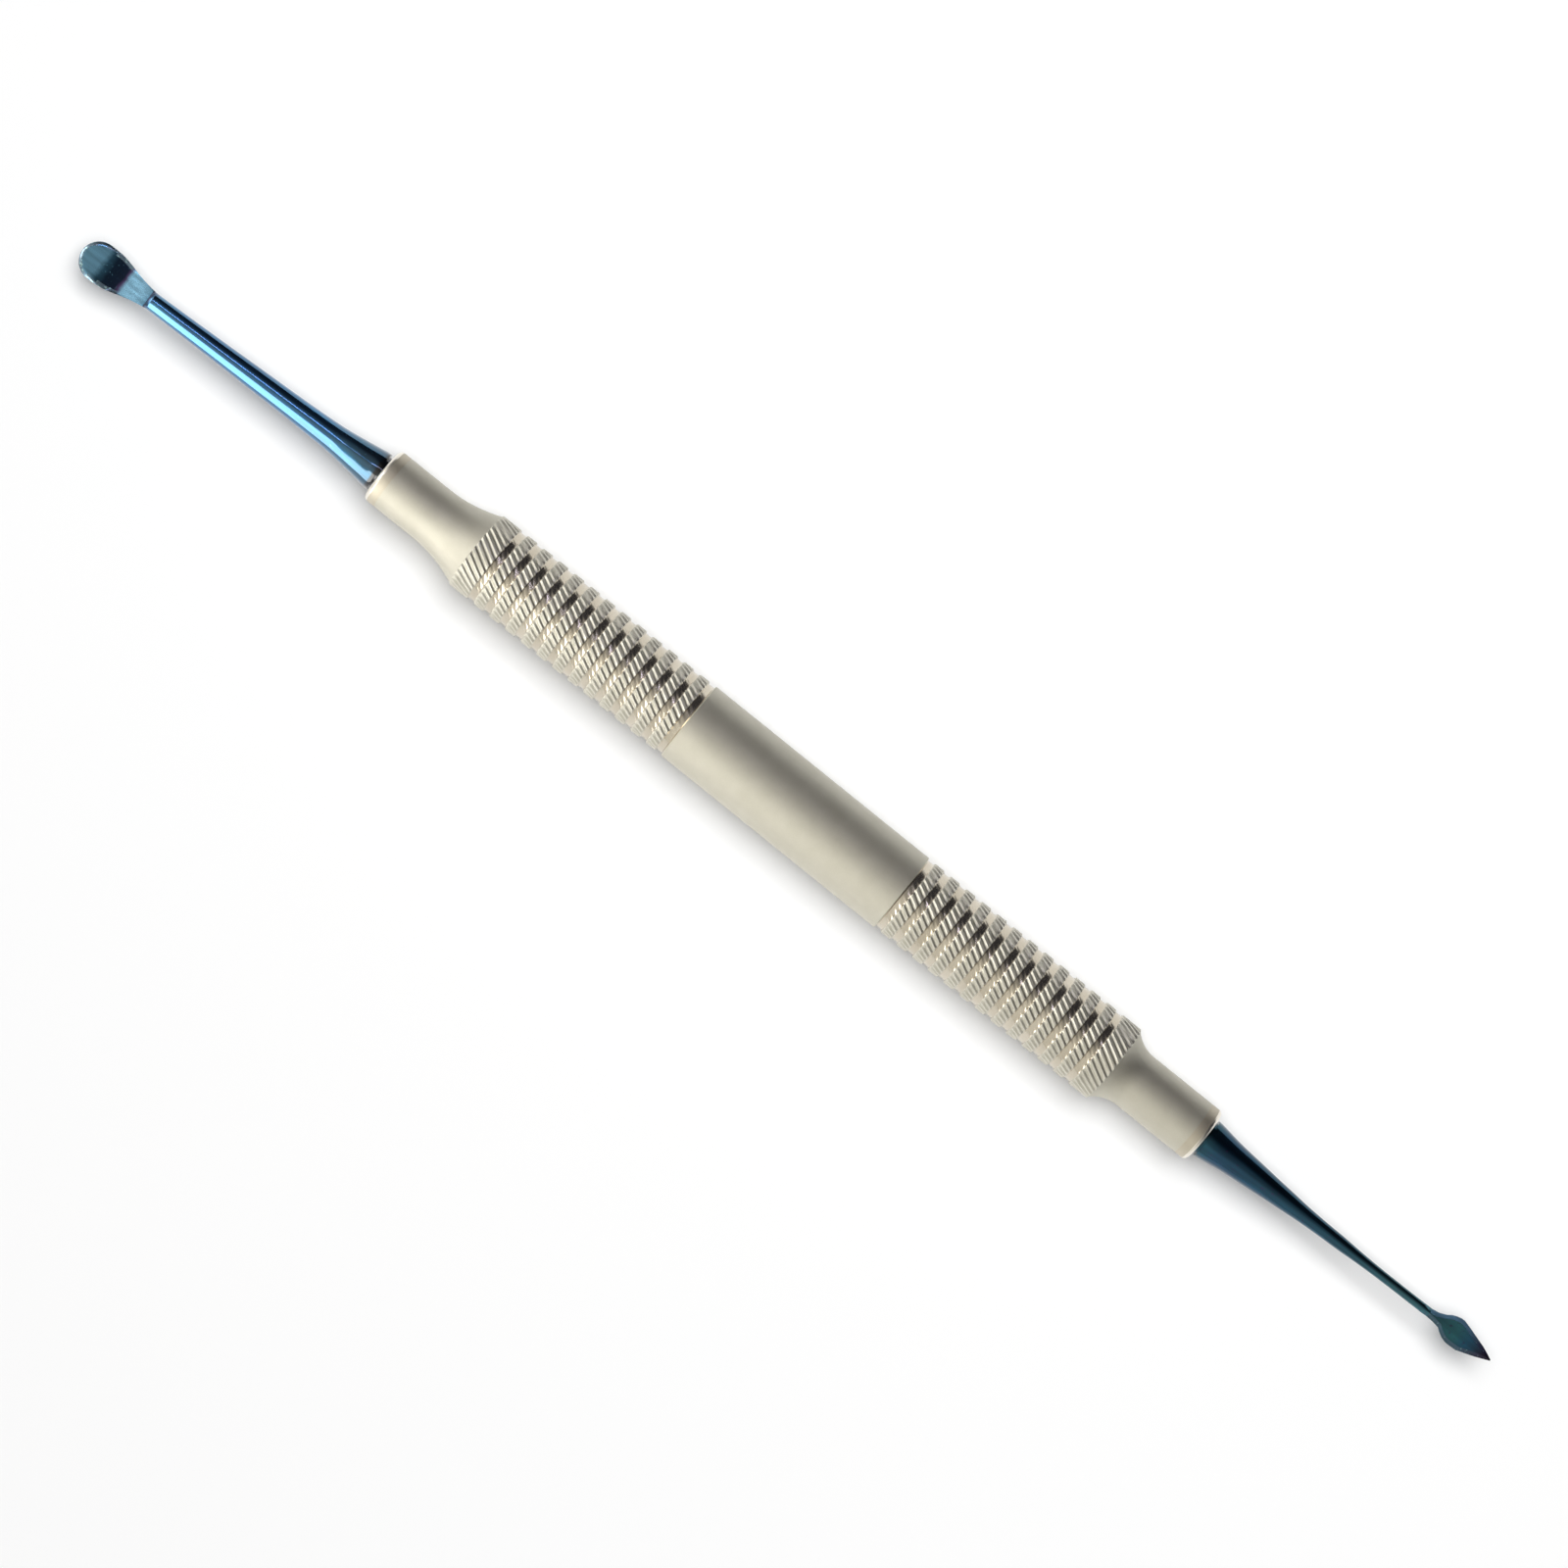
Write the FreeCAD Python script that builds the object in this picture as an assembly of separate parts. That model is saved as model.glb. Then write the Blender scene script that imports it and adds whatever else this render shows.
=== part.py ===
# A periosteal elevator with two ends, lying level with its blade faces up.
# X runs along the instrument, with the pointed end at +X and the rounded end at -X, and Z is up.
# The origin is under the middle of the whole length, on the surface that the handle lies on.
# All sizes are in millimetres and degrees.
import FreeCAD, Part
import math
import os

# handle: a drawn tube, swaged down to a neck at each end
handle_radius = 4.5
tube_wall = 0.9
neck_radius = 3.1
mouth_bevel_length = 0.45
mouth_bevel_drop = 0.6
round_neck_length = 6.4
round_flare_length = 5.9
point_neck_length = 9.0
point_flare_length = 2.8
flare_facets = 3

# smooth band at the middle, and beside it two grips: rows of lands between turned ring grooves
band_length = 27.9
groove_count = 13
groove_pitch = 2.05
groove_width = 0.83
groove_depth = 0.25
end_land = 2.4
lands_below_band = 0.05

# the core that shows at the bottom of the grooves, and how the bore narrows towards the necks
core_sides = 20
cavity_taper_length = 1.6

# knurl across the lands: slanted teeth, here a few less and a little broader than the 36 of the real one
knurl_teeth = 30
knurl_angle = 30.0
knurl_depth = 0.15

# plug of each tip, pressed into the neck, and the fine ring cut beside the mouth
plug_length = 6.2
plug_chamfer = 0.3
fit_clearance = 0.02
ring_width = 0.35
ring_depth = 0.3

# shanks: many-sided tapers, given by distance from the mouth and radius where the taper changes
shank_sides = 20
round_shank_taper = [(2.4, 1.95), (5.4, 1.57), (8.4, 1.4), (16.5, 1.2)]
point_shank_taper = [(3.5, 1.75), (8.3, 1.31), (13.0, 0.92), (18.5, 0.7), (23.0, 0.52)]

# rounded tip: a shoulder, a ramp and a round face like a shallow spoon
round_shank_length = 29.7
round_shank_end_radius = 0.98
shank_step = 0.02
round_lean = 2.0
round_blade_length = 8.6
round_blade_radius = 2.1
round_blade_half_thickness = 0.42
round_bevel_drop = 0.13
round_blade_drop = 0.58
round_blade_rise = 3.0
shoulder_length = 0.35
shoulder_drop = 0.72
ramp_length = 2.9
ramp_slope = 12.0
dish_blend_length = 1.5

# how the blank of the rounded blade swells: place along its run, then the share of the growth
# in width, of the thickness of the shank, and of the drop that it has reached there
round_blank_stations = [(0.25, 0.24, 0.9, 0.13), (0.6, 0.76, 0.62, 0.75)]

# pointed tip: a thinner shank and a flat spade with a ground bevel on each edge
point_shank_length = 28.8
point_shank_end_radius = 0.5
point_lean = 0.8
point_nose_length = 3.2
point_blade_length = 8.3
point_blade_wide = 1.6
point_blade_narrow = 1.4
point_half_thickness = 0.28
point_edge_half_thickness = 0.05
point_bevel = 0.45
point_tip_half_width = 0.06

# how the spade swells and narrows: place along it, then the shares of its two half widths
# and of its half thickness
spade_stations = [
    (0.16, 0.4, 0.38, 1.0),
    (0.28, 0.75, 0.62, 1.0),
    (0.4, 1.0, 0.97, 1.0),
    (0.59, 0.8, 1.0, 0.85),
]
spade_tip_thickness_share = 0.4
spade_root_width_share = 0.8
spade_root_thickness_share = 0.5
bevel_limit_share = 0.45

# places and sizes that follow from the ones above
bore_radius = neck_radius - tube_wall
plug_radius = bore_radius - fit_clearance
ring_radius = plug_radius - ring_depth
land_radius = handle_radius - lands_below_band
root_radius = land_radius - knurl_depth
floor_radius = handle_radius - groove_depth
cavity_radius = floor_radius - tube_wall
land_width = groove_pitch - groove_width
knurl_turn = math.degrees(math.tan(math.radians(knurl_angle)) / land_radius)
grip_length = end_land + groove_width + (groove_count - 1) * groove_pitch
round_end_length = round_neck_length + round_flare_length
point_end_length = point_neck_length + point_flare_length
handle_length = round_end_length + 2 * grip_length + band_length + point_end_length
round_centre = round_shank_length + round_blade_length - round_blade_radius
round_reach = round_centre * math.cos(math.radians(round_lean)) + round_blade_radius
point_reach = (point_shank_length + point_blade_length) * math.cos(math.radians(point_lean))
round_mouth = round_reach - (round_reach + handle_length + point_reach) / 2
point_mouth = round_mouth + handle_length
band_start = round_mouth + round_end_length + grip_length
band_end = band_start + band_length

along = FreeCAD.Vector(1, 0, 0)
across = FreeCAD.Vector(0, 1, 0)
up = FreeCAD.Vector(0, 0, 1)


def at(x, height):
    """A point of a side profile, in the upright plane through the axis."""
    return FreeCAD.Vector(x, 0, height)


def line(start, end):
    return Part.makeLine(at(*start), at(*end))


def turned(points):
    """The solid turned about the X axis from a closed run of profile points."""
    profile = Part.makePolygon([at(*point) for point in points + points[:1]])
    return Part.Face(profile).revolve(at(0, 0), along, 360)


def ring_of_points(x, radii, turn):
    """A closed outline square to the axis, whose corners take the given radii in turn."""
    points = []
    for number, radius in enumerate(radii):
        angle = math.radians(turn + 360 * number / len(radii))
        points.append(FreeCAD.Vector(x, radius * math.cos(angle), radius * math.sin(angle)))
    return Part.makePolygon(points + points[:1])


def flare(length):
    """The concave sweep of a swaged neck: an arc that leaves the neck level and rises to the grip."""
    rise = floor_radius - neck_radius
    arc_radius = (length ** 2 + rise ** 2) / (2 * rise)
    turn = math.asin(length / arc_radius)
    points = []
    for step in range(flare_facets + 1):
        angle = turn * step / flare_facets
        points.append((arc_radius * math.sin(angle), neck_radius + arc_radius * (1 - math.cos(angle))))
    return points


def knurled_length(start, end):
    """A short length of knurl, whose slanted teeth keep to one helix over the whole handle."""
    radii = [land_radius, root_radius] * knurl_teeth
    return Part.makeLoft([ring_of_points(x, radii, knurl_turn * x) for x in (start, end)], True, True)


def grip_lands(band_side, away):
    """The lands of one grip, from the groove beside the band outwards. The end land is two lengths."""
    lands = []
    for number in range(groove_count):
        inner = band_side + away * (groove_width + number * groove_pitch)
        lengths = [end_land / 2] * 2 if number == groove_count - 1 else [land_width]
        for length in lengths:
            outer = inner + away * length
            lands.append(knurled_length(min(inner, outer), max(inner, outer)))
            inner = outer
    return lands


def handle_end(mouth, heading, neck_length, flare_length):
    """One end of the handle, from the bevel of its mouth over the neck to inside the end land."""
    points = [(0, 0), (0, neck_radius - mouth_bevel_drop), (mouth_bevel_length, neck_radius)]
    points += [(neck_length + x, radius) for x, radius in flare(flare_length)]
    inner = neck_length + flare_length + end_land / 2
    points += [(inner, floor_radius), (inner, 0)]
    end = turned(points)
    end.rotate(at(0, 0), up, heading)
    end.translate(at(mouth, 0))
    return end


def make_handle():
    """One tube with a band and knurled lands, hollow from mouth to mouth and narrow in the necks."""
    cavity_start = round_mouth + round_end_length
    cavity_end = point_mouth - point_end_length
    core_start = cavity_start + end_land / 2
    core_end = cavity_end - end_land / 2
    ends = [
        handle_end(round_mouth, 0, round_neck_length, round_flare_length),
        handle_end(point_mouth, 180, point_neck_length, point_flare_length),
    ]
    band = Part.makeCylinder(handle_radius, band_length, at(band_start, 0), along)
    core_radii = [floor_radius] * core_sides
    core = Part.makeLoft([ring_of_points(x, core_radii, 0) for x in (core_start, core_end)], True, True)
    inside = [
        (round_mouth, 0),
        (round_mouth, bore_radius),
        (cavity_start - cavity_taper_length, bore_radius),
        (cavity_start, cavity_radius),
        (cavity_end, cavity_radius),
        (cavity_end + cavity_taper_length, bore_radius),
        (point_mouth, bore_radius),
        (point_mouth, 0),
    ]
    lands = grip_lands(band_start, -1) + grip_lands(band_end, 1)
    return core.multiFuse(ends + [band] + lands).cut(turned(inside))


def make_plug():
    """The plug that sits in the neck, with the thin ring that stands out of the mouth."""
    return turned([
        (-plug_length, 0),
        (-plug_length, plug_radius - plug_chamfer),
        (-plug_length + plug_chamfer, plug_radius),
        (0, plug_radius),
        (0, ring_radius),
        (2 * ring_width, ring_radius),
        (2 * ring_width, 0),
    ])


def make_shank(taper, ends):
    """A slim taper that starts beside the fine ring and goes on to the given ends."""
    stations = [(ring_width, plug_radius)] + taper + ends
    return Part.makeLoft([ring_of_points(x, [radius] * shank_sides, 0) for x, radius in stations], True, True)


def lens_section(x, height, half_width, half_height, tilt):
    """A section across the blade, of two arcs that meet in a sharp edge at each side."""
    sides = [FreeCAD.Vector(0, -half_width, 0), FreeCAD.Vector(0, half_width, 0)]
    top = Part.Arc(sides[0], at(0, half_height), sides[1]).toShape()
    bottom = Part.Arc(sides[1], at(0, -half_height), sides[0]).toShape()
    wire = Part.Wire([top, bottom])
    wire.rotate(at(0, 0), across, -tilt)
    wire.translate(at(x, height))
    return wire


def half_lens(radius, half_thick):
    """The round end of a thin blade: half a lens, with a ball-shaped face above and below."""
    ball_radius = (radius ** 2 + half_thick ** 2) / (2 * half_thick)
    half_angle = 0.5 * math.asin(radius / ball_radius)
    reach = ball_radius * math.sin(half_angle)
    middle = ball_radius * math.cos(half_angle) - ball_radius + half_thick
    top = Part.Arc(at(0, half_thick), at(reach, middle), at(radius, 0)).toShape()
    bottom = Part.Arc(at(radius, 0), at(reach, -middle), at(0, -half_thick)).toShape()
    face = Part.Face(Part.Wire([top, bottom, line((0, -half_thick), (0, half_thick))]))
    face.rotate(at(0, 0), up, -90)
    return face.revolve(at(0, 0), up, 180)


def lean_and_join(plug, exposed, lean):
    exposed.rotate(at(0, 0), up, lean)
    return plug.fuse(exposed)


def make_rounded_tip():
    end_radius = round_shank_end_radius
    shank_end = round_shank_length - shoulder_length
    shank = make_shank(round_shank_taper, [(shank_end, end_radius - shank_step)])

    # the blank of the blade: sections that grow wide and thin, closed by half a lens
    half_thick = round_blade_half_thickness
    blank_start = shank_end - shoulder_length
    run = round_centre - blank_start
    sections = [lens_section(blank_start, 0, end_radius, end_radius, 0)]
    for place, width_share, thickness_share, drop_share in round_blank_stations:
        half_width = end_radius + width_share * (round_blade_radius - end_radius)
        height = -drop_share * round_blade_drop
        thickness = thickness_share * end_radius
        sections.append(lens_section(blank_start + place * run, height, half_width, thickness, 0))
    widest = lens_section(round_centre, -round_blade_drop, round_blade_radius, half_thick, round_blade_rise)
    sections.append(widest)
    blank = Part.makeLoft(sections, True, True)
    lens = half_lens(round_blade_radius, half_thick)
    lens.rotate(at(0, 0), across, -round_blade_rise)
    lens.translate(at(round_centre, -round_blade_drop))

    # what is ground away above the face: the shoulder, the ramp, the blend and the round face
    rise = math.tan(math.radians(round_blade_rise))
    fall = math.tan(math.radians(ramp_slope))
    clear = 3 * end_radius
    beyond = round_centre + 2 * round_blade_radius
    ramp_start = (round_shank_length, end_radius - shoulder_drop)
    ramp_end = (ramp_start[0] + ramp_length, ramp_start[1] - fall * ramp_length)
    face_height = -round_blade_drop + round_bevel_drop
    blend_end = ramp_end[0] + dish_blend_length
    face_start = (blend_end, face_height - rise * (round_centre - blend_end))
    face_end = (beyond, face_height + rise * (beyond - round_centre))
    shoulder = [(shank_end, clear), (shank_end, end_radius)]
    corners = shoulder + [ramp_start, ramp_end, face_start, face_end, (beyond, clear)]
    waste = Part.Face(Part.makePolygon([at(*corner) for corner in corners + corners[:1]]))
    waste.translate(across * (-2 * round_blade_radius))
    waste = waste.extrude(across * (4 * round_blade_radius))
    exposed = shank.multiFuse([blank, lens]).cut(waste)
    return lean_and_join(make_plug(), exposed, round_lean)


def spade_section(x, wide, narrow, half_thick):
    """An eight-sided section: a flat face and back, with a ground bevel down to each thin edge."""
    bevel = min(point_bevel, bevel_limit_share * (wide + narrow))
    edge = min(point_edge_half_thickness, half_thick / 2)
    corners = [
        (wide, edge),
        (wide - bevel, half_thick),
        (bevel - narrow, half_thick),
        (-narrow, edge),
        (-narrow, -edge),
        (bevel - narrow, -half_thick),
        (wide - bevel, -half_thick),
        (wide, -edge),
    ]
    points = [FreeCAD.Vector(x, side, height) for side, height in corners]
    return Part.makePolygon(points + points[:1])


def make_pointed_tip():
    slim = point_shank_end_radius
    nose_end = (point_shank_length + point_nose_length, point_tip_half_width)
    shank = make_shank(point_shank_taper, [(point_shank_length, slim), nose_end])

    # the spade: it swells out of the shank, is widest at its shoulders and runs straight to the point
    thick = point_half_thickness
    tip = point_tip_half_width
    root_width = spade_root_width_share * slim
    root_thickness = spade_root_thickness_share * slim
    sections = [spade_section(point_shank_length - slim, root_width, root_width, root_thickness)]
    for place, wide_share, narrow_share, thickness_share in spade_stations:
        x = point_shank_length + place * point_blade_length
        wide = wide_share * point_blade_wide
        narrow = narrow_share * point_blade_narrow
        sections.append(spade_section(x, wide, narrow, thickness_share * thick))
    end = point_shank_length + point_blade_length
    sections.append(spade_section(end, tip, tip, spade_tip_thickness_share * thick))
    exposed = shank.fuse(Part.makeLoft(sections, True, True))
    return lean_and_join(make_plug(), exposed, point_lean)


handle = make_handle()
rounded_tip = make_rounded_tip()
rounded_tip.rotate(at(0, 0), up, 180)
rounded_tip.translate(at(round_mouth, 0))
pointed_tip = make_pointed_tip()
pointed_tip.translate(at(point_mouth, 0))

os.makedirs("parts", exist_ok=True)
for name, shape in (("handle", handle), ("rounded_tip", rounded_tip), ("pointed_tip", pointed_tip)):
    shape.translate(at(0, handle_radius))
    shape.exportStep("parts/" + name + ".step")
    print(name, len(shape.Solids), "solid", round(shape.Volume, 2), "mm3", shape.isValid(), shape.BoundBox)
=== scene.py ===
import math
import bmesh
import bpy
from mathutils import Matrix, Vector


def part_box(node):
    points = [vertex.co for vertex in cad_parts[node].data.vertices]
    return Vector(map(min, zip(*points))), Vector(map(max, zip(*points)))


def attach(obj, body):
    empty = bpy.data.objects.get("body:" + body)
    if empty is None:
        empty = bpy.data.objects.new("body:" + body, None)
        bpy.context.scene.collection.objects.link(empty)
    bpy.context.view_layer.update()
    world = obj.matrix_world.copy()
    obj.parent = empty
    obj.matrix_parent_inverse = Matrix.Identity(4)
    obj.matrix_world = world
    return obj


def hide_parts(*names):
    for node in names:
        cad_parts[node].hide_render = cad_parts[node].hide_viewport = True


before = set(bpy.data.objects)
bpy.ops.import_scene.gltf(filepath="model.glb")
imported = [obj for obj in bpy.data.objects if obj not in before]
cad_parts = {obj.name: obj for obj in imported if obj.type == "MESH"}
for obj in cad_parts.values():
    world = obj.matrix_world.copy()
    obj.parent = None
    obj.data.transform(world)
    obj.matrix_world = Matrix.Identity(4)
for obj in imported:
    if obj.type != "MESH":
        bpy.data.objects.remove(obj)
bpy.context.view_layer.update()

# The camera looks straight down on the instrument, as the photograph does.
# The instrument runs from the upper left to the lower right, 38.87 degrees below level.
MM = 0.001
handle_low, handle_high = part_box("handle")
axis_height = (handle_low.z + handle_high.z) / 2
camera_distance = 540 * MM
frame_width = 160 * MM
sensor_width = 36
photo_turn = math.radians(38.867)
photo_centre = (-1.5 * MM, 1.1 * MM)

camera_data = bpy.data.cameras.new("camera")
camera_data.sensor_width = sensor_width
camera_data.lens = sensor_width * camera_distance / frame_width
camera = bpy.data.objects.new("camera", camera_data)
camera.location = (photo_centre[0], photo_centre[1], axis_height + camera_distance)
camera.rotation_euler = (0, 0, photo_turn)
bpy.context.collection.objects.link(camera)
bpy.context.scene.camera = camera
bpy.context.scene.view_settings.view_transform = "Standard"

# The handle is one stainless steel tube: a smooth band, a grip on each side of it, and a neck
# swaged down at each end. The grips are cut by ring grooves, and the lands between them are
# knurled with 36 slanted teeth on one right-handed helix.
band_radius = (handle_high.z - handle_low.z) / 2
neck_radius = 3.1 * MM
bore_radius = 2.2 * MM
wall = 0.9 * MM
groove_depth = 0.25 * MM
land_drop = 0.05 * MM
knurl_depth = 0.15 * MM
floor_radius = band_radius - groove_depth
land_radius = band_radius - land_drop
root_radius = land_radius - knurl_depth
cavity_radius = floor_radius - wall
groove_count = 13
groove_pitch = 2.05 * MM
groove_width = 0.83 * MM
groove_slope = 0.1 * MM
end_land = 2.4 * MM
land_chamfer = 0.07 * MM
land_step = 0.4 * MM
knurl_teeth = 36
knurl_angle = 30
knurl_turn = math.tan(math.radians(knurl_angle)) / land_radius
tooth_corners = [-0.15, 0.15, 0.43, 0.57]
mouth_round = 0.45 * MM
mouth_round_steps = 4
mouth_line_place = 1.3 * MM
mouth_line_width = 0.12 * MM
mouth_line_depth = 0.03 * MM
round_neck_length = 6.4 * MM
round_flare_length = 5.9 * MM
point_neck_length = 9.0 * MM
point_flare_length = 2.8 * MM
flare_steps = 12
hair = 0.001 * MM
round_mouth = handle_low.x
point_mouth = handle_high.x
BLASTED, KNURLED, TURNED, MOUTH_BAND, RIM = range(5)


def first_ring(bm, x, radius, count, places):
    """A circle of vertices square to the axis. Each vertex keeps its number in places."""
    upright = Matrix.Rotation(math.pi / 2, 4, "Y")
    made = bmesh.ops.create_circle(bm, segments=count, radius=radius, matrix=upright)
    for number, vert in enumerate(made["verts"]):
        vert[places] = number
        vert.co.x = x
    return list({edge for vert in made["verts"] for edge in vert.link_edges})


def next_ring(bm, edges, finish):
    """Extrudes an open end by one ring, and gives the new faces their finish."""
    made = bmesh.ops.extrude_edge_only(bm, edges=edges)["geom"]
    for part in made:
        if isinstance(part, bmesh.types.BMFace):
            part.material_index = finish
    verts = [part for part in made if isinstance(part, bmesh.types.BMVert)]
    rim = [part for part in made if isinstance(part, bmesh.types.BMEdge) and part.is_boundary]
    return verts, rim


def place_tooth_ring(verts, places, x, crest, root, turn):
    """Sets a ring of the handle: two vertices on each tooth's crest and two at its root."""
    for vert in verts:
        tooth, corner = divmod(vert[places], 4)
        angle = turn + 2 * math.pi * (tooth + tooth_corners[corner]) / knurl_teeth
        radius = crest if corner < 2 else root
        vert.co = (x, radius * math.cos(angle), axis_height + radius * math.sin(angle))


def neck_stations(neck_length, flare_length):
    """The outside of one end, from its mouth to its grip: distance, radius and finish."""
    stations = []
    for step in range(1, mouth_round_steps + 1):
        angle = math.pi / 2 * step / mouth_round_steps
        inward = mouth_round * (1 - math.cos(angle))
        radius = neck_radius - mouth_round * (1 - math.sin(angle))
        stations.append((inward, radius, RIM))
    line_radius = neck_radius - mouth_line_depth
    line_end = mouth_line_place + mouth_line_width
    stations += [(mouth_line_place, neck_radius, MOUTH_BAND), (mouth_line_place, line_radius, MOUTH_BAND)]
    stations += [(line_end, line_radius, MOUTH_BAND), (line_end, neck_radius, MOUTH_BAND)]
    stations.append((neck_length, neck_radius, BLASTED))
    rise = root_radius - neck_radius
    arc_radius = (flare_length ** 2 + rise ** 2) / (2 * rise)
    sweep = math.asin(flare_length / arc_radius)
    for step in range(1, flare_steps + 1):
        angle = sweep * step / flare_steps
        radius = neck_radius + arc_radius * (1 - math.cos(angle))
        stations.append((neck_length + arc_radius * math.sin(angle), radius, BLASTED))
    return stations


def land_stations(start, end):
    """One knurled land, with a small chamfer at each end: place, crest, root and finish."""
    low = land_radius - land_chamfer
    steps = max(3, round((end - start) / land_step))
    inner_start = start + land_chamfer
    inner_end = end - land_chamfer
    rows = [(start, low, root_radius, TURNED)]
    for step in range(steps + 1):
        place = inner_start + (inner_end - inner_start) * step / steps
        rows.append((place, land_radius, root_radius, KNURLED))
    return rows + [(end, low, root_radius, KNURLED)]


def groove_stations(start):
    """One ring groove: its floor, between two walls that slope a little."""
    floor_start = start + groove_slope
    floor_end = start + groove_width - groove_slope
    return [(x, floor_radius, floor_radius, TURNED) for x in (floor_start, floor_end)]


def grip_stations(start, outer_first):
    """All lands and grooves of one grip, from its low end to its high end."""
    widths = [groove_pitch - groove_width] * (groove_count - 1)
    widths = [end_land] + widths if outer_first else widths + [end_land]
    rows = []
    place = start
    for width in widths:
        if not outer_first:
            rows += groove_stations(place)
            place += groove_width
        rows += land_stations(place, place + width)
        place += width
        if outer_first:
            rows += groove_stations(place)
            place += groove_width
    return rows, place


def shade(bm, mesh, sharp_angle):
    """Smooth faces, with every edge past the angle kept sharp, written into the mesh."""
    for face in bm.faces:
        face.smooth = True
    for edge in bm.edges:
        if len(edge.link_faces) == 2 and edge.calc_face_angle() > math.radians(sharp_angle):
            edge.smooth = False
    bm.to_mesh(mesh)
    bm.free()


handle_bm = bmesh.new()
places = handle_bm.verts.layers.int.new("place")
start_edges = first_ring(handle_bm, round_mouth, bore_radius, 4 * knurl_teeth, places)
place_tooth_ring(handle_bm.verts, places, round_mouth, bore_radius, bore_radius, 0)

left_end = neck_stations(round_neck_length, round_flare_length)
right_end = neck_stations(point_neck_length, point_flare_length)
left_grip_start = round_mouth + round_neck_length + round_flare_length
right_grip_end = point_mouth - point_neck_length - point_flare_length
left_grip, band_start = grip_stations(left_grip_start, True)
grip_length = band_start - left_grip_start
right_grip_start = right_grip_end - grip_length
right_grip = grip_stations(right_grip_start, False)[0]

# Each row is a ring of the tube: its place, its two radii and the finish of the faces up to it.
# The right end's list is read backwards, so its finishes move up by one.
lip_radius = neck_radius - mouth_round
step_radius = band_radius - land_chamfer
rows = [(round_mouth, lip_radius, lip_radius, RIM)]
rows += [(round_mouth + x, radius, radius, finish) for x, radius, finish in left_end]
rows += left_grip
rows += [(band_start, step_radius, step_radius, TURNED)]
rows += [(band_start + land_chamfer, band_radius, band_radius, BLASTED)]
rows += [(right_grip_start - land_chamfer, band_radius, band_radius, BLASTED)]
rows += [(right_grip_start, step_radius, step_radius, BLASTED)]
rows += right_grip
back = right_end[::-1]
finishes = [BLASTED] + [finish for x, radius, finish in back]
for (x, radius, own_finish), finish in zip(back, finishes):
    rows.append((point_mouth - x, radius, radius, finish))
rows.append((point_mouth, lip_radius, lip_radius, RIM))
rows.append((point_mouth, bore_radius, bore_radius, RIM))
inside = [
    (point_mouth - point_neck_length, bore_radius),
    (right_grip_end, cavity_radius),
    (left_grip_start, cavity_radius),
    (round_mouth + round_neck_length, bore_radius),
]
rows += [(x, radius, radius, BLASTED) for x, radius in inside]

edges = start_edges
turn = 0
last_x = round_mouth
for x, crest, root, finish in rows:
    on_left = left_grip_start < x <= band_start + hair
    on_right = right_grip_start < x <= right_grip_end + hair
    if (on_left or on_right) and x > last_x:
        turn += knurl_turn * (x - last_x)
    verts, edges = next_ring(handle_bm, edges, finish)
    place_tooth_ring(verts, places, x, crest, root, turn)
    last_x = x
open_edges = edges + [edge for edge in start_edges if edge.is_boundary]
bmesh.ops.bridge_loops(handle_bm, edges=open_edges)
bmesh.ops.recalc_face_normals(handle_bm, faces=handle_bm.faces)
handle_mesh = bpy.data.meshes.new("handle_visual")
shade(handle_bm, handle_mesh, sharp_angle=28)
handle = bpy.data.objects.new("handle_visual", handle_mesh)
bpy.context.collection.objects.link(handle)

# Bead-blasted stainless steel of a warm tone on the band and necks: soft, even and matt.
# The knurled lands are brighter on their worn crests, the groove floors are left as turned, and
# the metal is a little browner and darker in a band near each mouth. The blasted grain is drawn
# coarse so that it shows.
# The colour sockets of a Mix node go by number.
tone_rate = 0.55
ring_stretch = 0.04
steel_rough_swing = 0.06
MIX_A, MIX_B, MIX_OUT = 6, 7, 2


def linear(hex_colour):
    """An sRGB hex colour as the linear colour that a shader takes."""
    channels = [int(hex_colour[i:i + 2], 16) / 255 for i in (1, 3, 5)]
    turned = [c / 12.92 if c <= 0.04045 else ((c + 0.055) / 1.055) ** 2.4 for c in channels]
    return (*turned, 1)


def add_node(tree, kind, inputs, **settings):
    """Adds a node. An input is a value, or another node's output to link from."""
    made = tree.nodes.new(kind)
    for name, value in settings.items():
        setattr(made, name, value)
    for name, value in inputs.items():
        if isinstance(value, bpy.types.NodeSocket):
            tree.links.new(value, made.inputs[name])
        else:
            made.inputs[name].default_value = value
    return made


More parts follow.
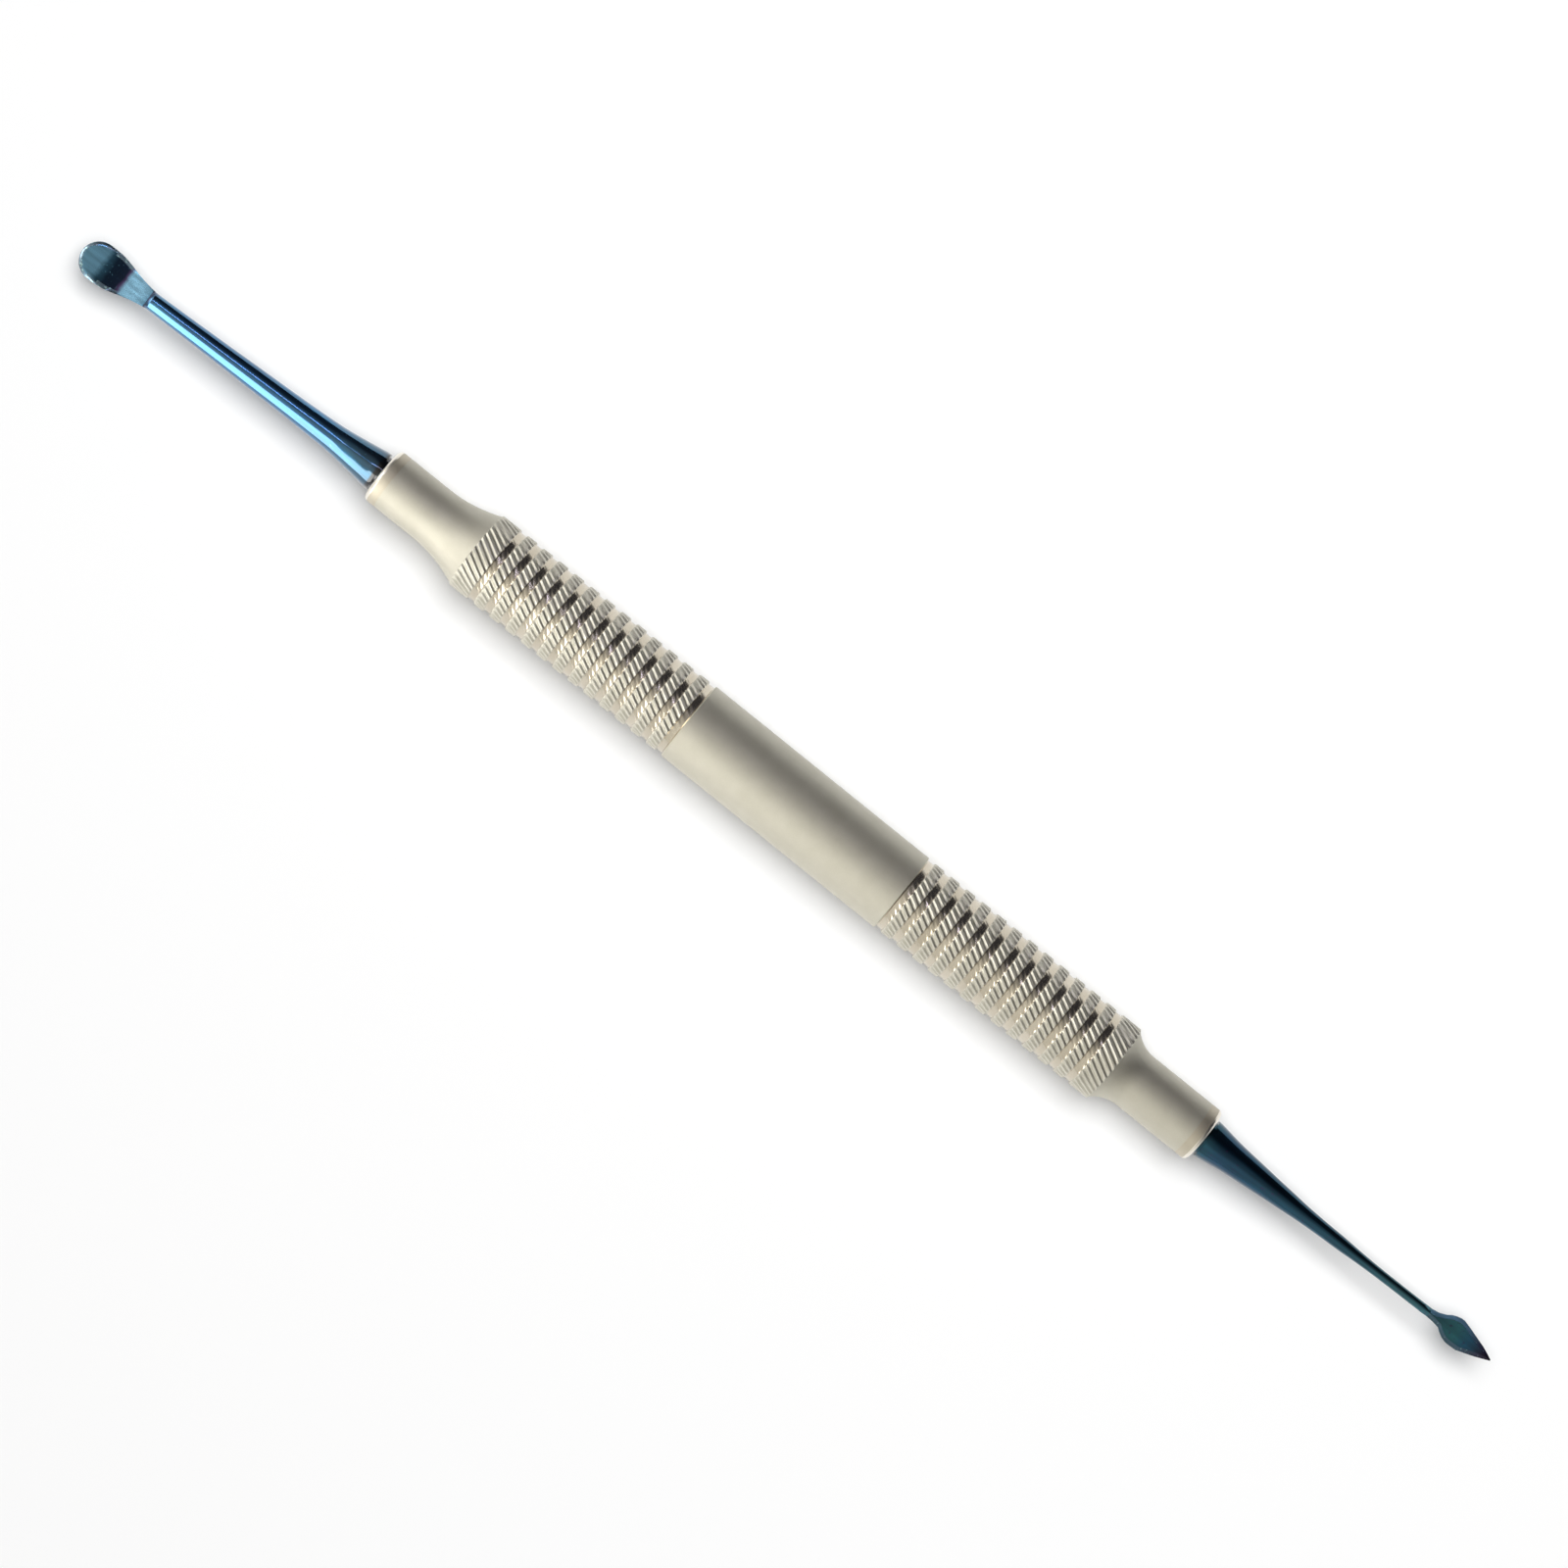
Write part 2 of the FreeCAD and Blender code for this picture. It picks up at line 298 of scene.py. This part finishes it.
def steel(name, dark, pale, roughness, grain_size, grain_depth, rings=False):
    """Stainless steel. Its grain is in millimetres, and rings stretch it round the handle."""
    material = bpy.data.materials.new(name)
    material.use_nodes = True
    tree = material.node_tree
    shader = tree.nodes["Principled BSDF"]
    shader.inputs["Metallic"].default_value = 1
    place = add_node(tree, "ShaderNodeTexCoord", {}).outputs["Object"]
    around = ring_stretch / MM if rings else 1 / MM
    scaled = add_node(tree, "ShaderNodeMapping", {
        "Vector": place, "Scale": (1 / MM, around, around)}).outputs["Vector"]
    cloud = add_node(tree, "ShaderNodeTexNoise", {
        "Vector": scaled, "Scale": tone_rate, "Detail": 3.0})
    tone = add_node(tree, "ShaderNodeMix", {
        "Factor": cloud.outputs["Fac"], MIX_A: linear(dark), MIX_B: linear(pale)},
        data_type="RGBA")
    grain = add_node(tree, "ShaderNodeTexNoise", {
        "Vector": scaled, "Scale": 1 / grain_size, "Detail": 2.0})
    rough = add_node(tree, "ShaderNodeMapRange", {
        "Value": grain.outputs["Fac"],
        "To Min": roughness - steel_rough_swing, "To Max": roughness + steel_rough_swing})
    bump = add_node(tree, "ShaderNodeBump", {
        "Height": grain.outputs["Fac"], "Distance": grain_depth * MM})
    tree.links.new(tone.outputs[MIX_OUT], shader.inputs["Base Color"])
    tree.links.new(rough.outputs["Result"], shader.inputs["Roughness"])
    tree.links.new(bump.outputs["Normal"], shader.inputs["Normal"])
    return material


for finish in (
    steel("bead_blasted_steel", "#C9C6B8", "#D5D2C6", 0.61, 0.16, 0.003),
    steel("knurled_steel", "#CBC8BB", "#E0DDD1", 0.48, 0.2, 0.003),
    steel("turned_steel", "#BCB29E", "#DCD4C4", 0.22, 0.12, 0.002, rings=True),
    steel("mouth_band_steel", "#C5BEAD", "#D2CBBA", 0.55, 0.16, 0.003),
    # The rounded lip at each mouth is polished, and its colour is painted paler as a painted
    # highlight.
    steel("polished_rim_steel_painted_highlight", "#E9E2D4", "#F6F1E6", 0.3, 0.2, 0.001),
):
    handle_mesh.materials.append(finish)
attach(handle, "root")
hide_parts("handle")

# The rounded tip is turned and ground from one titanium bar, and its plug sits in the left neck.
# The shank tapers to a steep shoulder, a flat ramp and a round face like a shallow spoon, with a
# narrow ground bevel. Sizes of the tips are in millimetres from the mouth of their neck.
plug_length = 6.2
plug_radius = bore_radius / MM - 0.02
plug_chamfer = 0.3
ring_width = 0.35
ring_depth = 0.3
tip_sides = 48
round_shank = [(0.35, 2.18), (0.9, 2.16), (2.4, 1.95), (3.4, 1.82), (5.4, 1.57), (6.9, 1.46),
               (8.4, 1.4), (10.9, 1.31), (16.5, 1.2), (21, 1.1), (26, 1.02), (29.35, 0.98)]
round_shank_steps = 58
round_lean = math.radians(2.0)
half_widths = [(29.35, 0.98), (30.6, 1.12), (32, 1.4), (33.3, 1.75), (34.3, 1.98),
               (35.2, 2.08), (36.2, 2.1)]
middles = [(29.35, 0), (31.0, -0.08), (33.4, -0.44), (36.2, -0.58), (38.3, -0.47)]
crowns = [(29.35, 0.98), (31.0, 0.88), (33.4, 0.6), (36.2, 0.42), (38.3, 0.38)]
tops = [(29.7, 0.26), (32.6, -0.357), (33.3, -0.47), (34.1, -0.49), (36.2, -0.37),
        (38.3, -0.28)]
ramp_start, ramp_height = tops[0]
ramp_end = 32.6
ramp_slope = math.tan(math.radians(12))
round_centre = 36.2
round_radius = 2.1
blade_steps = 40
end_steps = 14
least_shrink = 0.2
side_steps = 5
lowest_cut, highest_cut = 0.02, 0.98
ground_from = 29.8
strip_from = 33.0
strip_width = 0.36
strip_lowest = -0.58
strip_tilt = 0.05
BLUE, BEVEL, FACE = range(3)


def spread(start, end, steps):
    """Even places from start to end."""
    return [start + (end - start) * step / steps for step in range(steps + 1)]


def through(points, x):
    """The height at x of a smooth curve through measured points, level past either end."""
    if x <= points[0][0]:
        return points[0][1]
    for number in range(len(points) - 1):
        (x0, y0), (x1, y1) = points[number:number + 2]
        if x <= x1:
            before = points[max(number - 1, 0)]
            after = points[min(number + 2, len(points) - 1)]
            slope0 = (y1 - before[1]) / (x1 - before[0])
            slope1 = (after[1] - y0) / (after[0] - x0)
            t = (x - x0) / (x1 - x0)
            run = x1 - x0
            return ((2 * t ** 3 - 3 * t ** 2 + 1) * y0 + (t ** 3 - 2 * t ** 2 + t) * run * slope0
                    + (3 * t ** 2 - 2 * t ** 3) * y1 + (t ** 3 - t ** 2) * run * slope1)
    return points[-1][1]


def place_section(verts, places, x, section):
    """Sets a ring of a tip from its section, a list of across and height."""
    for vert in verts:
        across, height = section[vert[places]]
        vert.co = (x * MM, across * MM, height * MM)


def circle_section(radius):
    """A round section, with its corners half a step off the sides."""
    angles = [2 * math.pi * (number + 0.5) / tip_sides for number in range(tip_sides)]
    return [(radius * math.cos(angle), radius * math.sin(angle)) for angle in angles]


def ground_section(half_width, middle, crown, top):
    """A section with sharp sides and crowned above and below, ground flat at the height top."""
    side = tip_sides // 2
    cut = min(max((top - middle) / crown, lowest_cut), 1)
    ground = cut < highest_cut
    corner = math.asin(cut) if ground else math.pi / 4
    section = []
    for number in range(side):
        share = number + 0.5
        part = (share - side_steps) / (side - 2 * side_steps)
        if ground and 0 < part < 1:
            section.append((half_width * math.cos(corner) * (1 - 2 * part), top))
            continue
        if part <= 0:
            angle = corner * share / side_steps
        elif part >= 1:
            angle = math.pi - corner * (side - share) / side_steps
        else:
            angle = corner + (math.pi - 2 * corner) * part
        section.append((half_width * math.cos(angle), middle + crown * math.sin(angle)))
    for number in range(side):
        angle = math.pi + math.pi * (number + 0.5) / side
        section.append((half_width * math.cos(angle), middle + crown * math.sin(angle)))
    return section


def start_tip(bm):
    """The hidden plug and the fine ring beside the mouth, up to the start of the shank."""
    places = bm.verts.layers.int.new("place")
    edges = first_ring(bm, 0, 1, tip_sides, places)
    place_section(bm.verts, places, -plug_length, circle_section(plug_radius - plug_chamfer))
    bmesh.ops.contextual_create(bm, geom=edges)
    ring_radius = plug_radius - ring_depth
    steps = [(plug_chamfer - plug_length, plug_radius), (0, plug_radius)]
    steps += [(0, ring_radius), (ring_width, ring_radius)]
    for x, radius in steps:
        verts, edges = next_ring(bm, edges, BLUE)
        place_section(verts, places, x, circle_section(radius))
    return places, edges


def finish_tip(bm, name, matrix, sharp_angle):
    """Turns a closed tip into place and gives it a mesh."""
    bmesh.ops.recalc_face_normals(bm, faces=bm.faces)
    bm.transform(matrix)
    mesh = bpy.data.meshes.new(name)
    shade(bm, mesh, sharp_angle)
    made = bpy.data.objects.new(name, mesh)
    bpy.context.collection.objects.link(made)
    return made


rounded_bm = bmesh.new()
places, edges = start_tip(rounded_bm)
for x in spread(round_shank[0][0], round_shank[-1][0], round_shank_steps):
    verts, edges = next_ring(rounded_bm, edges, BLUE)
    place_section(verts, places, x, circle_section(through(round_shank, x)))
blade_places = spread(ramp_start, round_centre, blade_steps)
for step in range(1, end_steps):
    blade_places.append(round_centre + round_radius * math.sin(math.pi / 2 * step / end_steps))
for x in blade_places:
    half_width = through(half_widths, x)
    shrink = 1
    if x > round_centre:
        half_width = math.sqrt(round_radius ** 2 - (x - round_centre) ** 2)
        shrink = max(half_width / round_radius, least_shrink)
    top = through(tops, x)
    if x <= ramp_end:
        top = ramp_height - ramp_slope * (x - ramp_start)
    section = ground_section(half_width, through(middles, x), through(crowns, x) * shrink, top)
    verts, edges = next_ring(rounded_bm, edges, BLUE)
    place_section(verts, places, x, section)
bmesh.ops.contextual_create(rounded_bm, geom=edges)
rounded_bm.normal_update()
for face in rounded_bm.faces:
    middle = face.calc_center_median() / MM
    if middle.x > round_centre:
        inset = round_radius - math.hypot(middle.x - round_centre, middle.y)
    else:
        inset = through(half_widths, middle.x) - abs(middle.y)
    seen = abs(face.normal.z) > strip_tilt and middle.z > strip_lowest
    if middle.x > ground_from:
        face.material_index = FACE
    if middle.x > strip_from and inset < strip_width and seen:
        face.material_index = BEVEL
rounded_matrix = (Matrix.Translation((round_mouth, 0, axis_height))
                  @ Matrix.Rotation(math.pi, 4, "Z") @ Matrix.Rotation(round_lean, 4, "Z"))
rounded_tip = finish_tip(rounded_bm, "rounded_tip_visual", rounded_matrix, sharp_angle=24)

# Anodised titanium: the oxide film gives a deep blue that turns paler where the blade was ground;
# the band nearly black across the hollow of the face is painted shade. A smooth coat stands for
# the film and whitens the highlights. The patterns are drawn coarse to show, and their rates are
# for a millimetre.
coat_roughness = 0.07
coat_ior = 1.75
cloud_rate = 0.9
cloud_sway = 0.6
speck_rate = 3.2
speck_edge = 0.1
streak_stretch = (0.12, 2.0, 2.0)
streak_from, streak_to = 0.3, 0.7
streak_dark, streak_light = 0.7, 1.15
smoother, rougher = 0.06, 0.08
# Toward the left mouth the stops paint the blue darker, and the ring beside the mouth near black:
# painted shade at the joint.
rounded_stops = [(-82.6, "#22456E"), (-81.8, "#3484B0"), (-78.0, "#2070A2"),
                 (-61.0, "#1C6C9A"), (-56.5, "#1A6284"), (-53.7, "#164E6A"),
                 (-53.5, "#05090F"), (-53.0, "#05090F")]
# The face's stops from -88.3 to -85.9 paint a band of shade, nearly black, across its hollow.
face_stops = [(-91.6, "#76ACC8"), (-88.9, "#72A6C4"), (-88.3, "#2C566E"), (-87.6, "#06243C"),
              (-86.2, "#061A34"), (-85.9, "#4A3A62"), (-85.5, "#80B2D0"), (-84.0, "#8CC0E0"),
              (-83.2, "#84B8D8"), (-82.4, "#4C86AC")]
edge_stops = [(-91.6, "#6C8496"), (-88.0, "#647E90"), (-84.0, "#10202C")]


def anodised(name, stops, roughness, coat, fleck, fleck_from):
    """Anodised titanium. Each stop is a place along the instrument and its colour there."""
    material = bpy.data.materials.new(name)
    material.use_nodes = True
    tree = material.node_tree
    shader = tree.nodes["Principled BSDF"]
    shader.inputs["Metallic"].default_value = 1
    shader.inputs["Coat Weight"].default_value = coat
    shader.inputs["Coat Roughness"].default_value = coat_roughness
    shader.inputs["Coat IOR"].default_value = coat_ior
    place = add_node(tree, "ShaderNodeTexCoord", {}).outputs["Object"]
    scaled = add_node(tree, "ShaderNodeMapping", {
        "Vector": place, "Scale": (1 / MM, 1 / MM, 1 / MM)}).outputs["Vector"]
    cloud = add_node(tree, "ShaderNodeTexNoise", {
        "Vector": scaled, "Scale": cloud_rate, "Detail": 3.0})
    parts = add_node(tree, "ShaderNodeSeparateXYZ", {"Vector": scaled})
    sway = add_node(tree, "ShaderNodeMath", {
        0: cloud.outputs["Fac"], 1: cloud_sway, 2: parts.outputs["X"]}, operation="MULTIPLY_ADD")
    low, high = stops[0][0], stops[-1][0]
    along = add_node(tree, "ShaderNodeMapRange", {
        "Value": sway.outputs[0], "From Min": low, "From Max": high})
    ramp = add_node(tree, "ShaderNodeValToRGB", {"Fac": along.outputs["Result"]})
    elements = ramp.color_ramp.elements
    elements[0].color = linear(stops[0][1])
    elements[1].color = linear(stops[-1][1])
    for x, hex_colour in stops[1:-1]:
        elements.new((x - low) / (high - low)).color = linear(hex_colour)
    speck = add_node(tree, "ShaderNodeTexNoise", {
        "Vector": scaled, "Scale": speck_rate, "Detail": 2.0})
    flecks = add_node(tree, "ShaderNodeMapRange", {
        "Value": speck.outputs["Fac"], "From Min": fleck_from - speck_edge,
        "From Max": fleck_from})
    tone = add_node(tree, "ShaderNodeMix", {
        "Factor": flecks.outputs["Result"], MIX_A: ramp.outputs["Color"], MIX_B: linear(fleck)},
        data_type="RGBA")
    drawn = add_node(tree, "ShaderNodeMapping", {"Vector": scaled, "Scale": streak_stretch})
    streak = add_node(tree, "ShaderNodeTexNoise", {
        "Vector": drawn.outputs[0], "Scale": 1.0, "Detail": 3.0})
    rough = add_node(tree, "ShaderNodeMapRange", {
        "Value": streak.outputs["Fac"],
        "To Min": roughness - smoother, "To Max": roughness + rougher})
    depth = add_node(tree, "ShaderNodeMapRange", {
        "Value": streak.outputs["Fac"], "From Min": streak_from, "From Max": streak_to,
        "To Min": streak_dark, "To Max": streak_light})
    shaded = add_node(tree, "ShaderNodeVectorMath", {
        0: tone.outputs[MIX_OUT], "Scale": depth.outputs["Result"]}, operation="SCALE")
    tree.links.new(shaded.outputs[0], shader.inputs["Base Color"])
    tree.links.new(rough.outputs["Result"], shader.inputs["Roughness"])
    return material


for finish in (
    anodised("anodised_titanium_blue_and_painted_shade", rounded_stops, 0.14, 0.9, "#3C86A8", 0.76),
    anodised("anodised_titanium_ground_edge", edge_stops, 0.26, 0.6, "#9FC6CC", 0.66),
    anodised("anodised_titanium_ground_face_and_painted_shade", face_stops, 0.16, 0.15, "#6CA4BC", 0.74),
):
    rounded_tip.data.materials.append(finish)
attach(rounded_tip, "root")
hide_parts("rounded_tip")

# The pointed tip is ground from a thinner bar of the same metal: a slim shank, and a flat spade
# whose long edges are bevelled from both faces down to the point.
# Each row of the spade is its place, its half width on each side and half its thickness.
point_shank = [(0.35, 2.18), (1.0, 2.12), (3.5, 1.75), (5.9, 1.53), (8.3, 1.31), (10.6, 1.12),
               (13, 0.92), (15.4, 0.8), (17.8, 0.73), (20.2, 0.6), (23, 0.52), (28.3, 0.5)]
point_shank_steps = 56
point_lean = math.radians(0.8)
spade = [(29.2, 0.5, 0.46, 0.42), (30.0, 0.62, 0.5, 0.34), (30.8, 0.97, 0.63, 0.28),
         (31.2, 1.27, 0.93, 0.28), (31.7, 1.47, 1.2, 0.28), (32.2, 1.6, 1.36, 0.28),
         (32.6, 1.6, 1.4, 0.28), (33.6, 1.32, 1.36, 0.26), (34.4, 1.07, 1.1, 0.24),
         (35.6, 0.7, 0.68, 0.2), (36.5, 0.34, 0.3, 0.15), (37.08, 0.06, 0.06, 0.1)]
bevel_width = 0.45
bevel_share = 0.45
edge_thickness = 0.05
bevel_steps = 5
face_steps = 13
bevel_from = 29.5
bevel_steepest, bevel_flattest = 0.2, 0.985
TEAL, UPPER_BEVEL, LOWER_BEVEL = range(3)


def spade_section(wide, narrow, half_thick):
    """A flat eight-sided section: a face and a back, with a bevel down to each thin edge."""
    bevel = min(bevel_width, bevel_share * (wide + narrow))
    edge = min(edge_thickness, half_thick / 2)
    corners = [(wide, edge), (wide - bevel, half_thick), (bevel - narrow, half_thick)]
    corners += [(-narrow, edge), (-narrow, -edge), (bevel - narrow, -half_thick)]
    corners += [(wide - bevel, -half_thick), (wide, -edge)]
    section = []
    for number, span in enumerate([bevel_steps, face_steps, bevel_steps, 1] * 2):
        (y0, z0), (y1, z1) = corners[number], corners[(number + 1) % 8]
        for step in range(span):
            section.append((y0 + (y1 - y0) * step / span, z0 + (z1 - z0) * step / span))
    return section


pointed_bm = bmesh.new()
places, edges = start_tip(pointed_bm)
for x in spread(point_shank[0][0], point_shank[-1][0], point_shank_steps):
    verts, edges = next_ring(pointed_bm, edges, TEAL)
    place_section(verts, places, x, circle_section(through(point_shank, x)))
for x, wide, narrow, half_thick in spade:
    verts, edges = next_ring(pointed_bm, edges, TEAL)
    place_section(verts, places, x, spade_section(wide, narrow, half_thick))
bmesh.ops.contextual_create(pointed_bm, geom=edges)
pointed_bm.normal_update()
for face in pointed_bm.faces:
    middle = face.calc_center_median() / MM
    if middle.x > bevel_from and bevel_steepest < abs(face.normal.z) < bevel_flattest:
        face.material_index = UPPER_BEVEL if middle.y > 0 else LOWER_BEVEL
pointed_matrix = (Matrix.Translation((point_mouth, 0, axis_height))
                  @ Matrix.Rotation(point_lean, 4, "Z"))
pointed_tip = finish_tip(pointed_bm, "pointed_tip_visual", pointed_matrix, sharp_angle=16)

# The same anodised titanium, teal along the shank and turning violet at the point. The upper
# bevel of the spade is painted paler as a painted highlight, and the lower one is painted darker
# as painted shade.
# The first stops paint the ring beside the mouth near black: painted shade at the joint.
pointed_stops = [(54.0, "#020406"), (54.75, "#020406"), (54.95, "#164C5C"), (57.0, "#11425E"),
                 (62.0, "#11465F"), (72.0, "#184A5E"), (80.0, "#2A5862"), (84.5, "#356C78"),
                 (87.4, "#3A7E88"), (88.8, "#2C6A8A"), (89.9, "#2E4C66"), (90.8, "#2A2040"),
                 (91.6, "#1A1028")]
upper_stops = [(82.0, "#7CACCC"), (88.5, "#82B2D8"), (90.4, "#4C4A70"), (91.6, "#22142E")]
lower_stops = [(82.0, "#3E5C6C"), (88.5, "#3C5668"), (90.4, "#2C2C46"), (91.6, "#1A1028")]
for finish in (
    anodised("anodised_titanium_teal_and_painted_shade", pointed_stops, 0.2, 0.3, "#3A2A5C", 0.74),
    anodised("anodised_titanium_upper_bevel_painted_highlight", upper_stops, 0.52, 0.2, "#8FB8C0", 0.74),
    anodised("anodised_titanium_lower_bevel_painted_shade", lower_stops, 0.34, 0.3, "#8FB8C0", 0.74),
):
    pointed_tip.data.materials.append(finish)
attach(pointed_tip, "root")
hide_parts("pointed_tip")

# The instrument lies on a plain white floor. The floor's own colour makes the white background,
# with a little added for rays that see it straight or in the metal, and it keeps the shadow.
floor_reach = 3
floor_lift = 0.1

floor_bm = bmesh.new()
bmesh.ops.create_grid(floor_bm, x_segments=1, y_segments=1, size=floor_reach)
floor_mesh = bpy.data.meshes.new("floor")
floor_bm.to_mesh(floor_mesh)
floor_bm.free()
floor = bpy.data.objects.new("floor", floor_mesh)
bpy.context.collection.objects.link(floor)
floor_material = bpy.data.materials.new("white_studio_floor")
floor_material.use_nodes = True
floor_tree = floor_material.node_tree
floor_tree.nodes.remove(floor_tree.nodes["Principled BSDF"])
paper = add_node(floor_tree, "ShaderNodeBsdfDiffuse", {"Color": linear("#EBEBEB")})
rays = add_node(floor_tree, "ShaderNodeLightPath", {})
straight = add_node(floor_tree, "ShaderNodeMath", {
    0: rays.outputs["Is Camera Ray"], 1: rays.outputs["Is Glossy Ray"]}, operation="MAXIMUM")
any_view = add_node(floor_tree, "ShaderNodeMath", {
    0: straight.outputs[0], 1: rays.outputs["Is Transmission Ray"]}, operation="MAXIMUM")
lift = add_node(floor_tree, "ShaderNodeMath", {
    0: any_view.outputs[0], 1: floor_lift}, operation="MULTIPLY")
glow = add_node(floor_tree, "ShaderNodeEmission", {"Strength": lift.outputs[0]})
both = add_node(floor_tree, "ShaderNodeAddShader", {0: paper.outputs[0], 1: glow.outputs[0]})
floor_tree.links.new(both.outputs[0], floor_tree.nodes["Material Output"].inputs["Surface"])
floor_mesh.materials.append(floor_material)

# The room, as the metal shows it: pale on the lower left side of the picture, grey overhead and
# dark on the upper right. Light that has already met a matt surface finds a plain dim grey
# there, so that the shadow on the floor stays as dark as in the photograph.
lower_left = Vector((-0.5, -0.86, 0)).normalized()
room_stops = [(-1.0, "#38373C"), (-0.7, "#343338"), (-0.5, "#434247"), (-0.35, "#7A7878"),
              (-0.2, "#9A9896"), (0.0, "#A9A7A2"), (0.12, "#C4C1BA"), (0.25, "#E2DFD8"),
              (0.45, "#ECEAE4"), (1.0, "#E6E4DE")]
dim_room = "#464646"

world = bpy.data.worlds.new("studio")
world.use_nodes = True
bpy.context.scene.world = world
world_tree = world.node_tree
direction = add_node(world_tree, "ShaderNodeTexCoord", {}).outputs["Generated"]
toward = add_node(world_tree, "ShaderNodeVectorMath", {
    0: direction, 1: lower_left}, operation="DOT_PRODUCT")
across_room = add_node(world_tree, "ShaderNodeMapRange", {
    "Value": toward.outputs["Value"], "From Min": -1.0})
room = add_node(world_tree, "ShaderNodeValToRGB", {"Fac": across_room.outputs["Result"]})
elements = room.color_ramp.elements
elements[0].color = linear(room_stops[0][1])
elements[1].color = linear(room_stops[-1][1])
for side, hex_colour in room_stops[1:-1]:
    elements.new((side + 1) / 2).color = linear(hex_colour)
room_rays = add_node(world_tree, "ShaderNodeLightPath", {})
after_floor = add_node(world_tree, "ShaderNodeMath", {
    0: room_rays.outputs["Diffuse Depth"], 1: 0.5}, operation="GREATER_THAN")
shown = add_node(world_tree, "ShaderNodeMix", {
    "Factor": after_floor.outputs[0], MIX_A: room.outputs["Color"], MIX_B: linear(dim_room)},
    data_type="RGBA")
world_tree.links.new(shown.outputs[MIX_OUT], world_tree.nodes["Background"].inputs["Color"])


def lamp(name, width, height, level, place, colour, on_floor):
    """A soft box aimed at the instrument. The level is its brightness, where 1 is white."""
    light = bpy.data.lights.new(name, "AREA")
    light.shape = "RECTANGLE"
    light.size = width
    light.size_y = height
    light.energy = level * math.pi * width * height
    light.color = linear(colour)[:3]
    made = bpy.data.objects.new(name, light)
    made.location = place
    aim = Vector((0 if on_floor else place[0] * 0.5, 0, axis_height)) - made.location
    made.rotation_euler = aim.to_track_quat("-Z", "Y").to_euler()
    made.visible_glossy = not on_floor
    made.visible_diffuse = on_floor
    bpy.context.collection.objects.link(made)


# Soft boxes: one overhead that lights the floor and gives the close shadow on the lower side,
# and three that only the metal shows: a tall one at the lower left, one off the rounded end
# and a strip.
lamp("overhead_box", 0.6, 0.68, 7.3, (0, 0.16, 0.87), "#FFFFFF", on_floor=True)
lamp("tall_box", 0.066, 0.25, 4.4, (-0.102, -0.176, 0.1), "#FFFDF8", on_floor=False)
lamp("end_box", 0.2, 0.2, 4.5, (-0.42, -0.05, 0.235), "#FFFDF8", on_floor=False)
lamp("fine_strip", 0.16, 0.016, 9.0, (-0.14, 0.12, 0.4), "#D8D4FF", on_floor=False)
